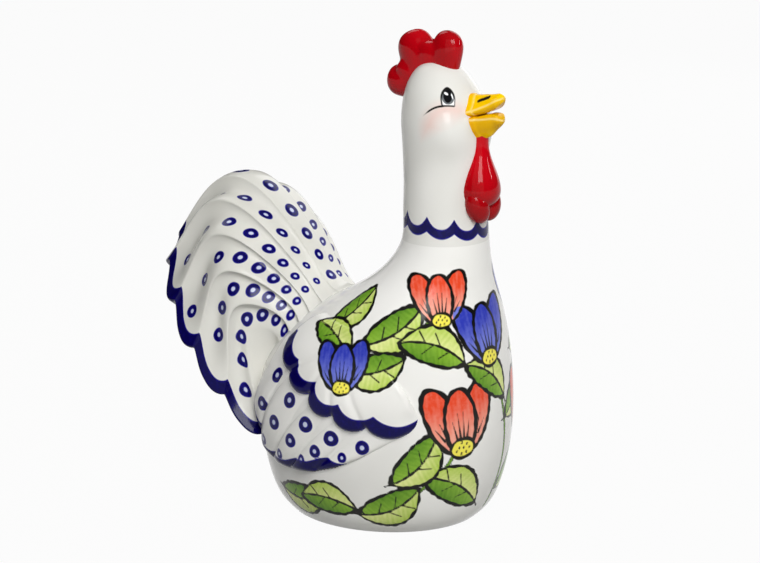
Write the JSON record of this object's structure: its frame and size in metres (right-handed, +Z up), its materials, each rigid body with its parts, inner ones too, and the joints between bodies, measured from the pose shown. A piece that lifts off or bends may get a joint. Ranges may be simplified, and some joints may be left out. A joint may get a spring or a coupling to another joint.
{
  "type": "rooster ornament",
  "caption": "Hollow glazed earthenware rooster ornament with a fluted plume tail, relief wings, lobed comb and wattles, standing on a plain foot ring.",
  "frame": {"origin": "on the floor under the foot, half way between the beak's tip and the tail's tip, on the middle plane", "axes": "+Z up; the rooster faces -Y, and its right side is towards -X"},
  "size_m": [0.1472, 0.2312, 0.2937],
  "materials": {
    "white_glaze": "gloss",
    "cobalt_feather_glaze": "gloss",
    "red_glaze": "gloss",
    "yellow_glaze": "gloss",
    "bare_earthenware": "matte"
  },
  "bodies": {
    "root": {"body_shell": "white_glaze", "base_disc": "bare_earthenware", "head_shell": "white_glaze", "tail_shell": "cobalt_feather_glaze", "right_wing": "cobalt_feather_glaze", "left_wing": "cobalt_feather_glaze", "comb": "red_glaze", "upper_beak": "yellow_glaze", "lower_beak": "yellow_glaze", "front_wattle": "red_glaze", "right_wattle": "red_glaze", "left_wattle": "red_glaze"}
  },
  "joints": []
}
